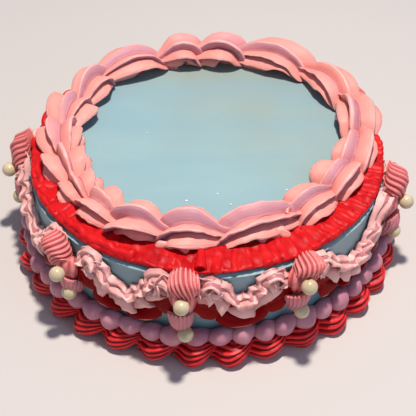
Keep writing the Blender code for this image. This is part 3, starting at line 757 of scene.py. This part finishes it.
# Each column's azimuth and lean, and how far its head and its foot are shifted, in degrees. Then
# the twist of the head's ridges in radians, and in mm how far the head starts lower than usual and
# the heights of the column's top and its two pearls.
COLUMNS = ((-92.5, -3.5, -1.5, 0, 1.2, 0, 69.5, 46, 27.5), (-43.5, -3, -4.5, -0.5, 1.8, 6, 69, 47, 31),
           (-6.3, -1, 0.3, -1.4, -0.8, 0, 69, 53.5, 27.4), (27, 0.5, 2.2, -0.4, 0.5, 0, 69, 56.5, 34),
           (76.5, 3.5, 1.5, 0, -0.9, 0, 69.5, 48.5, 27.4), (123, 1, 0, 0, 0.8, 0, 65.6, 50, 28),
           (172, 0, 0, 0, -0.8, 0, 65.6, 51, 29), (219, -1, 0, 0, 0.9, 0, 65.6, 49, 28))
RIBBON_RED = (0.26, 0.0, 0.001)
RIBBON_LIP_HIGHLIGHT = (0.88, 0.34, 0.28)


def column_places():
    """Where each column stands, in radians and metres."""
    places = []
    for azimuth, lean, head, foot, twist, drop, top, upper, lower in COLUMNS:
        places.append({"azimuth": math.radians(azimuth), "lean": math.radians(lean),
                       "head": math.radians(head), "foot": math.radians(foot), "twist": twist,
                       "drop": 0.001 * drop, "top": 0.001 * top, "upper": 0.001 * upper,
                       "lower": 0.001 * lower})
    return places


def column_azimuth(level, place):
    """Azimuth of a leaning column's middle at a height."""
    share = (level - place["lower"]) / (place["top"] - place["lower"])
    return place["azimuth"] + place["lean"] * (share - 0.5)


def swag_frame(start, end, steps, margin_deg):
    """Places along a swag's hanging curve: azimuth, height, distance along it, offset from its
    middle, and the unit direction across the curve and downwards, as parts along the arc and up.
    The curve is a parabola whose drop grows with its span. Beside each column it turns over in an
    arch and falls behind the column's head."""
    margin = math.radians(margin_deg)
    offset = np.linspace(-1.0, 1.0, steps)
    span = math.degrees(end["azimuth"] - start["azimuth"])
    drop = min(SWAG_DROP_PER_DEG * span, SWAG_DEEPEST)
    half_arc = 0.5 * CAKE_RADIUS * (end["azimuth"] - start["azimuth"] - 2.0 * margin)
    from_end = half_arc * (1.0 - np.abs(offset))
    climbed = np.clip((half_arc - from_end) / (half_arc - SWAG_ARCH), 0.0, 1.0)
    level = SWAG_END_HEIGHT - drop * (1.0 - climbed ** 2) - SWAG_FALL * ease(1.0 - from_end / SWAG_ARCH)
    left = column_azimuth(level, start) + margin
    right = column_azimuth(level, end) - margin
    azimuth = 0.5 * (left + right) + 0.5 * offset * (right - left)
    along = np.gradient(azimuth * CAKE_RADIUS)
    climb = np.gradient(level)
    length = np.hypot(along, climb)
    distance = np.concatenate([[0.0], np.cumsum(0.5 * (length[1:] + length[:-1]))])
    swag = {"azimuth": azimuth, "level": level, "distance": distance, "offset": offset,
            "down_arc": climb / length, "down_rise": -along / length}
    return {key: value[:, None] for key, value in swag.items()}


def hang(swag, across, outward, forward=0.0):
    """Points at a distance across (downwards) and outward from a swag's curve, moved forward along
    it."""
    turned = across * swag["down_arc"] - forward * swag["down_rise"]
    raised = across * swag["down_rise"] + forward * swag["down_arc"]
    azimuth = swag["azimuth"] + turned / CAKE_RADIUS
    return cylindrical(WALL_RADIUS + 0.0002 + outward, azimuth, swag["level"] + raised)


def end_taper(swag, share):
    """Shrinks a swag's section towards both ends: a quarter circle over the first and last share."""
    inside = np.minimum(1.0, (1.0 - np.abs(swag["offset"])) / share + 0.02)
    return np.sqrt(np.clip(1.0 - (1.0 - inside) ** 2, 0.0, 1.0))


def ribbon(swag, scallops):
    """Scalloped ribbon: the section falls from the wall, bulges and ends in a lip, then returns to
    the wall underneath. The lip hangs lower and further out in the middle of each scallop, by the
    root of a sine."""
    phase = swag["distance"] / swag["distance"][-1] * scallops
    arch = np.abs(np.sin(math.pi * phase)) ** 0.55
    room = swag["level"] - RIBBON_LOWEST - 0.0036
    low = np.minimum(RIBBON_DROP + 0.0010, room) + 0.0036 * arch
    out = 0.0024 + 0.0022 * arch
    front = np.linspace(0.0, 1.0, 12)[None, :]
    back = np.linspace(1.0, 0.0, 6)[None, 1:]
    across = (RIBBON_DROP - RIBBON_TUCK) + (low - RIBBON_DROP + RIBBON_TUCK) * front
    across_back = (RIBBON_DROP - RIBBON_TUCK) + (low - 0.0012 - RIBBON_DROP + RIBBON_TUCK) * back
    swing = 0.0003 * np.sin(2.0 * math.pi * phase) * front
    outward = 0.0004 + out * np.sin(0.5 * math.pi * front) ** 0.7 + swing
    outward_back = (out + 0.0004) * ease(back) * 0.55 * back
    points = hang(swag, np.concatenate([across, across_back], axis=1),
                  np.concatenate([outward, outward_back], axis=1) * end_taper(swag, 0.10))
    points[..., 2] = np.maximum(points[..., 2], RIBBON_LOWEST)
    # The marks rise to 1 at the lower lip in the middle of each scallop, where the highlight is painted.
    marks = np.concatenate([front + 0.0 * arch, back * 0.6 + 0.0 * arch], axis=1) * arch
    return closed_body(points, marks)


ribbon_red = Paint("red_swag_icing", 0.30, shine=0.08)
# Painted highlight: a thin pale line along the lower lip of each scallop.
lip = ribbon_red.between(ribbon_red.mark(), 0.88, 0.97)
ribbon_colour = ribbon_red.mix(lip, RIBBON_RED, RIBBON_LIP_HIGHLIGHT)
ribbon_material = ribbon_red.finish(ribbon_colour, ribbon_red.noise(260.0, 2.0), 0.0002)
places = column_places()
swag_pairs = []
for number, start in enumerate(places, start=1):
    end = dict(places[number % len(places)])
    if end["azimuth"] < start["azimuth"]:
        end["azimuth"] += 2.0 * math.pi
    swag_pairs.append((number, start, end))
for number, start, end in swag_pairs:
    scallops = max(4, round(math.degrees(end["azimuth"] - start["azimuth"]) / SCALLOP_DEG))
    make_piece("swag_red_ribbon_%d" % number,
               [ribbon(swag_frame(start, end, RIBBON_STEPS, 4.6), scallops)],
               ribbon_material, ("swag_red_%d" % number,))


# Pink swags
# Two layers of pale pink petal tip ruffle hang between the columns, a wide ragged one shaken to and
# fro, and a narrow one over it. At the columns each arches over and ends in two folded petals.
SWAG_STEPS = 380
# Each petal's distance from the swag's end, its rise over it and how far it stands out, in metres,
# the angles that it is turned and raised by, in radians, and its radius in metres.
SWAG_PETALS = ((0.0020, 0.0070, 0.0024, -0.4, 0.3, 0.0056), (0.0078, 0.0042, 0.0040, 0.7, 0.1, 0.0050))
SWAG_PINK = (0.88, 0.44, 0.39)
SWAG_PINK_HIGHLIGHT = (0.92, 0.54, 0.49)
SWAG_PINK_SHADE = (0.52, 0.18, 0.19)


def zigzag(phase, seed):
    """Folds of unlike height: a triangle wave between -1 and 1 whose peaks are scaled at random."""
    draw = np.random.default_rng(seed)
    index = np.floor(phase).astype(int)
    share = phase - index
    tall = draw.uniform(0.55, 1.15, 64)
    high = tall[index % 64] + (tall[(index + 1) % 64] - tall[index % 64]) * ease(share)
    wave = 1.0 - 4.0 * np.abs(share - 0.5)
    return (wave - 0.18 * wave ** 3) * high


def over_and_back(front_steps, back_steps):
    """Shares of a layer's width, from 0 to 1 over its front and back to 0 underneath, and a row
    that is 1 in front and 0 underneath."""
    share = np.concatenate([np.linspace(0.0, 1.0, front_steps), np.linspace(1.0, 0.0, back_steps)[1:]])
    upper = np.concatenate([np.ones(front_steps), np.zeros(back_steps - 1)])
    return share[None, :], upper[None, :]


def wide_layer(swag, seed):
    """Lower layer: the front runs from the wall down and out to a zigzag edge, doubling back along
    the swag towards that edge, and the underside returns to the wall."""
    draw = np.random.default_rng(seed)
    total = swag["distance"][-1]
    phase = swag["distance"] / total * (total / 0.0112)
    phase = phase + 0.25 * np.sin(swag["distance"] * 120.0 + draw.uniform(0.0, 6.28))
    share, upper = over_and_back(20, 8)
    zig = zigzag(phase + 0.15 * share, seed)
    zag = zigzag(phase + 0.25 + 0.15 * share, seed + 1)
    low = 0.0060 + 0.0032 * zig
    out = 0.0056 + 0.0022 * zag
    size = end_taper(swag, 0.08)
    across = -0.0034 + (low + 0.0034) * share - 0.0016 * (1.0 - upper)
    crown = 0.0008 * np.sin(math.pi * share)
    outward = np.where(upper > 0.5, 0.0026 + (out - 0.0026) * share ** 0.7 + crown,
                       (out - 0.0004) * share ** 2.2)
    forward = 0.0034 * np.sin(2.0 * math.pi * phase) * share
    points = hang(swag, across * (0.45 + 0.55 * size), outward * size, forward)
    points += 0.00030 * unevenness(points, 0.0045, seed + 2)[..., None]
    # The marks paint shade: darker near the wall, underneath and where the folds fall back, lighter
    # where they stand out.
    marks = np.clip(0.5 + 0.5 * zag, 0.0, 1.0) * upper * np.clip(0.35 + share, 0.0, 1.0)
    return closed_body(points, marks)


def narrow_layer(swag, seed):
    """Upper layer: a narrow band that rises from the wall in two ledges, with painted shade in the
    crease between them, to a thin wavy lip that stands proud of the wide layer."""
    draw = np.random.default_rng(seed)
    phase = swag["distance"] / 0.0120
    phase = phase + 0.3 * np.sin(swag["distance"] * 130.0 + draw.uniform(0.0, 6.28))
    share, upper = over_and_back(22, 7)
    wave = zigzag(phase, seed)
    soft = np.sin(2.0 * math.pi * phase + 1.0)
    drift = unevenness(swag["distance"] * (1.0, 0.0, 0.0), 0.016, seed + 5)[:, None]
    low = -0.0014 + 0.0024 * wave + 0.0006 * drift
    out = 0.0074 + 0.0014 * soft + 0.0007 * drift
    size = end_taper(swag, 0.07)
    brink = -0.0072 + 0.0017 * zigzag(phase + 0.4, seed + 7)
    across = brink + (low - brink) * share - 0.0012 * (1.0 - upper) * np.sqrt(share)
    dent = 0.10 * np.exp(-((share - 0.45) / 0.04) ** 2)
    ledges = 0.50 * ease(share / 0.22) + 0.50 * ease((share - 0.46) / 0.22) - dent
    underneath = 0.0002 + (out - 0.0004) * share ** 1.2
    outward = np.where(upper > 0.5, 0.0008 + (out - 0.0008) * ledges, underneath)
    points = hang(swag, across * (0.4 + 0.6 * size), outward * size, 0.0012 * soft * share)
    points += 0.00030 * unevenness(points, 0.0042, seed + 2)[..., None]
    # Painted shade in the crease between the two ledges and underneath, lighter where the band stands
    # further out.
    crease = (0.22 + 0.15 * drift) * np.exp(-((share - 0.45) / 0.045) ** 2)
    return closed_body(points, (1.0 - crease) * upper * (0.75 + 0.25 * soft))


def petal(azimuth, height, outward, turned, raised, radius, seed):
    """A cupped petal of icing: a thin disc whose face curves up to a wavy, ragged rim. The profile
    runs from the middle of the face over the rim to the middle of the back; the disc is then turned
    to the side and tipped up, and stands at its place on the wall."""
    draw = np.random.default_rng(seed)
    share = np.concatenate([np.linspace(0.05, 1.0, 12), [1.03, 1.03, 0.99],
                            np.linspace(0.9, 0.05, 6)])[:, None]
    depth = np.concatenate([np.zeros(12), [0.3, 0.7, 1.0], np.ones(6)])[:, None]
    turn = once_round(40)
    first = draw.uniform(0.0, 6.28, 5)
    rim = 1.0 + 0.14 * np.sin(2.0 * turn + first[0]) + 0.04 * np.sin(5.0 * turn + first[1])
    wave = 0.22 * np.sin(2.0 * turn + first[2]) + 0.14 * np.sin(4.0 * turn + first[3])
    wave = wave + 0.07 * np.sin(7.0 * turn + first[4])
    along = radius * share * rim * np.cos(turn)
    up = radius * 1.1 * share * rim * np.sin(turn)
    face = radius * (0.40 + wave) * share ** 2 - 0.0010 * depth
    arc = along * math.cos(turned) + face * math.sin(turned)
    front = face * math.cos(turned) - along * math.sin(turned)
    rise = up * math.cos(raised) + front * math.sin(raised)
    front = front * math.cos(raised) - up * math.sin(raised)
    reach = WALL_RADIUS + np.maximum(outward + front, 0.0004)
    points = cylindrical(reach, azimuth + arc / CAKE_RADIUS, height + rise)
    points += 0.00015 * unevenness(points, 0.0025, 500 + seed)[..., None]
    # The marks paint shade into the cup's middle and a highlight at the rim; the back is even.
    return closed_body(points, np.where(depth < 0.5, 0.35 + 0.65 * share, 0.5))


swag_paint = Paint("pink_swag_icing", 0.42, glow=0.18)
# Painted shade: deeper pink where the marks are low. Painted highlight: paler pink where they are
# highest.
swag_crest = swag_paint.between(swag_paint.mark(), 0.0, 0.9)
swag_colour = swag_paint.mix(swag_crest, SWAG_PINK_SHADE, SWAG_PINK)
swag_colour = swag_paint.mix((swag_crest ** 3.0) * 0.6, swag_colour, SWAG_PINK_HIGHLIGHT)
swag_relief = swag_paint.noise(500.0, 3.0) * 0.6 + swag_paint.noise(180.0, 3.0) * 0.4
swag_material = swag_paint.finish(swag_colour, swag_relief, 0.00025)
for number, start, end in swag_pairs:
    swag = swag_frame(start, end, SWAG_STEPS, 4.4)
    draw = np.random.default_rng(200 + number)
    bodies = [wide_layer(swag, 210 + 10 * number), narrow_layer(swag, 300 + 10 * number)]
    for side, row in ((-1.0, 0), (1.0, -1)):
        level = float(swag["level"][row, 0])
        azimuth = float(swag["azimuth"][row, 0])
        for order, (arc, rise, outward, turned, raised, radius) in enumerate(SWAG_PETALS):
            size = draw.uniform(0.88, 1.12)
            bodies.append(petal(azimuth - side * arc / CAKE_RADIUS, level + rise, outward,
                                -side * turned, raised, radius * size,
                                50 * number + 10 * row + order))
    make_piece("swag_pink_ruffle_%d" % number, bodies, swag_material,
               ("swag_pink_%d" % number,))


# Columns
# Where two swags meet, coral buttercream from a fine star tip is piped down the side: a fat ridged
# head that swells out over the edge of the ruffle, a smooth middle part, and a small ridged shell.
HEAD_OVERHANG = 0.0042
HEAD_SHAPE = {"full": 0.40, "taper": 0.52, "mouth": 0.76, "fingers": 0.0020, "back": 1.38,
              "back_until": 1.0, "tear": 0.014, "lift": 0.72, "low": 0.25}
MIDDLE_SHAPE = {"taper": 0.50, "mouth": 0.50, "back": 0.3, "twist": 0.3, "tear": 0.02, "lift": 0.75}
SMALL_SHAPE = {"full": 0.15, "taper": 0.50, "mouth": 0.94, "fingers": 0.0020, "back": 0.5,
               "tear": 0.03, "lift": 0.78}
CORAL = (0.78, 0.20, 0.19)
CORAL_HIGHLIGHT = (0.90, 0.33, 0.30)
CORAL_SHADE = (0.45, 0.07, 0.08)
CORAL_LOW_SHADE = (0.56, 0.19, 0.22)


def down_the_side(local, place, top, shift):
    """Puts local points on the side with x running down from a height, y across and z outwards."""
    level = top - local[..., 0]
    turned = column_azimuth(level, place) + shift
    azimuth = turned + local[..., 1] / (CAKE_RADIUS + 0.5 * local[..., 2])
    return cylindrical(WALL_RADIUS + 0.0003 + local[..., 2], azimuth, level)


def column_bodies(place, number):
    """The three parts of a column, from the top: where each starts, its length, half width, half
    height, ridges and their depth, shape and sideways shift."""
    draw = np.random.default_rng(400 + number)
    upper = place["upper"]
    foot = place["lower"] - 0.0030
    crown = place["top"] - 0.0074 - place["drop"]
    comb = upper - min(0.0150, 0.58 * (upper - place["lower"]))
    head = dict(HEAD_SHAPE, twist=place["twist"], start=-0.45 * place["twist"])
    small = dict(SMALL_SHAPE, twist=draw.uniform(0.2, 0.6))
    parts = ((crown, crown - upper + 0.0012, 0.0085, 0.0104, 18, 0.18, head, place["head"]),
             (upper + 0.0040, upper + 0.0080 - comb, 0.0077, 0.0066, 9, 0.03, MIDDLE_SHAPE,
              0.4 * (place["head"] + place["foot"])),
             (comb, comb - foot, 0.0071, 0.0080, 18, 0.08, small, place["foot"]))
    bodies = []
    for order, (begin, length, wide, tall, ridges, depth, shape, shift) in enumerate(parts):
        shape = dict(shape, sharp=False, begin=0.0, twist_until=1.0)
        local, mark, _, poles = piped_shell(length, wide, tall, ridges, depth, shape, 64, 140,
                                            420 + 10 * number + order)
        if order == 0:
            local[..., 2] += HEAD_OVERHANG * ease((local[..., 0] / length - 0.3) / 0.7)
        if order == 2:
            # The small shell is kept out of the deepest groove shade, and the ends of its ridges along
            # the top edge, its comb, are painted pale as a highlight.
            edge = np.exp(-np.arange(len(mark)) / 1.5)[:, None]
            mark = np.clip(0.30 + 0.35 * mark + 0.7 * edge * mark, 0.0, 1.0)
        points = down_the_side(local, place, begin, shift)
        points[..., 2] = np.minimum(points[..., 2], place["top"] + 0.0022)
        bodies.append(closed_body(points, mark, poles=down_the_side(poles, place, begin, shift)))
    return bodies


coral = Paint("coral_icing", 0.38, glow=0.15, glow_radius=(1.0, 0.35, 0.3))
# Painted shade: deeper coral down in the grooves. Painted highlight: paler coral on the crests.
coral_crest = coral.between(coral.mark(), 0.05, 0.7)
coral_colour = coral.mix(coral_crest, CORAL_SHADE, CORAL)
coral_colour = coral.mix((coral_crest ** 4.0) * 0.45, coral_colour, CORAL_HIGHLIGHT)
# Painted shade: below 42 mm the columns are painted a duskier mauve pink, blending back to coral by 50
# mm, with the highlight kept on their crests.
low_shade_colour = coral.mix((coral_crest ** 3.0) * 0.6, CORAL_LOW_SHADE, CORAL_HIGHLIGHT)
coral_colour = coral.mix(coral.between(coral.along("Z"), 0.042, 0.050), low_shade_colour, coral_colour)
coral_material = coral.finish(coral_colour, coral.noise(700.0, 3.0), 0.00012)
for number, place in enumerate(places, start=1):
    make_piece("column_shells_%d" % number, column_bodies(place, number), coral_material,
               ("column_%d" % number,))


# Sugar pearls
# Hard ivory sugar balls of 9 mm with a waxy shine, one pressed in under the head of each
# column and one at its foot.
PEARL_RADIUS = 0.0045
UPPER_PEARL_REACH = 0.1212
LOWER_PEARL_REACH = 0.1160
PEARL_IVORY = (0.53, 0.42, 0.25)
PEARL_PALE = (0.63, 0.53, 0.35)


def pearl_surface(centre, seed):
    """A ball of latitude rows, a hundredth out of round."""
    ball = unit_ball(np.linspace(-0.5 * math.pi, 0.5 * math.pi, 30)[1:-1, None], 48)
    ball = ball * (PEARL_RADIUS * (0.99 + 0.008 * unevenness(ball, 1.6, seed)))[..., None]
    tip = np.array([0.0, 0.0, 0.99 * PEARL_RADIUS])
    return closed_body(centre + ball, 0.5, poles=(centre - tip, centre + tip))


ivory = Paint("sugar_pearl", 0.32, glaze=0.3, glow=0.2, glow_radius=(1.0, 0.8, 0.5), glow_depth=0.003)
ivory_colour = ivory.mix(ivory.between(ivory.noise(120.0, 2.0), 0.35, 0.65), PEARL_IVORY, PEARL_PALE)
pearl_material = ivory.finish(ivory_colour, ivory.noise(900.0, 2.0), 0.00004)
for number, place in enumerate(places, start=1):
    for which, reach in (("upper", UPPER_PEARL_REACH), ("lower", LOWER_PEARL_REACH)):
        centre = cylindrical(reach, column_azimuth(place[which], place), place[which])
        make_piece("pearl_%s_ball_%d" % (which, number), [pearl_surface(centre, 600 + number)],
                   pearl_material, ("pearl_%s_%d" % (which, number),))


# Camera, floor and studio light
# The camera stands in front and looks down at about 41 degrees. A small warm lamp hangs nearly
# overhead, a broad cool one stands low at the front right, and the sky is pale blue.
CAMERA_LENS = 103.85
CAMERA_TILT_DEG = 48.95
CAMERA_PLACE = (0.0006, -0.5656, 0.5113)
FLOOR_HALF = 4.0
FLOOR_COLOUR = (0.58, 0.54, 0.51)
LAMP_TARGET = (0.0, 0.0, 0.03)
# Each lamp's name, place, diameter in metres, power in watts and colour.
LAMPS = (("key_lamp", (0.08, -0.07, 1.35), 0.10, 22.3, (1.0, 0.93, 0.86)),
         ("fill_lamp", (0.9, -0.9, 0.7), 0.9, 2.6, (0.52, 0.68, 1.0)))
SKY_COLOUR = (0.64, 0.76, 1.0, 1.0)
SKY_STRENGTH = 0.33

camera_data = bpy.data.cameras.new("camera")
camera_data.lens = CAMERA_LENS
camera_data.sensor_width = 36.0
camera_data.clip_start = 0.01
camera_data.clip_end = 20.0
camera = bpy.data.objects.new("camera", camera_data)
camera.location = CAMERA_PLACE
camera.rotation_euler = (math.radians(CAMERA_TILT_DEG), 0.0, 0.0)
bpy.context.scene.collection.objects.link(camera)
bpy.context.scene.camera = camera

floor_mesh = bpy.data.meshes.new("floor")
floor_corners = [(-FLOOR_HALF, -FLOOR_HALF, 0.0), (FLOOR_HALF, -FLOOR_HALF, 0.0),
                 (FLOOR_HALF, FLOOR_HALF, 0.0), (-FLOOR_HALF, FLOOR_HALF, 0.0)]
floor_mesh.from_pydata(floor_corners, [], [(0, 1, 2, 3)])
floor_paint = Paint("floor_matt", 0.7)
floor_mesh.materials.append(floor_paint.finish(FLOOR_COLOUR))
floor = bpy.data.objects.new("floor", floor_mesh)
bpy.context.scene.collection.objects.link(floor)


for name, place, size, power, colour in LAMPS:
    lamp_data = bpy.data.lights.new(name, "AREA")
    lamp_data.shape = "DISK"
    lamp_data.size = size
    lamp_data.energy = power
    lamp_data.color = colour
    lamp = bpy.data.objects.new(name, lamp_data)
    facing = np.array(place) - np.array(LAMP_TARGET)
    lamp.location = place
    lamp.rotation_euler = (math.atan2(math.hypot(facing[0], facing[1]), facing[2]), 0.0,
                           math.atan2(facing[0], -facing[1]))
    bpy.context.scene.collection.objects.link(lamp)
world = bpy.data.worlds.new("sky")
world.use_nodes = True
world.node_tree.nodes["Background"].inputs["Color"].default_value = SKY_COLOUR
world.node_tree.nodes["Background"].inputs["Strength"].default_value = SKY_STRENGTH
bpy.context.scene.world = world
bpy.context.scene.view_settings.view_transform = "Standard"
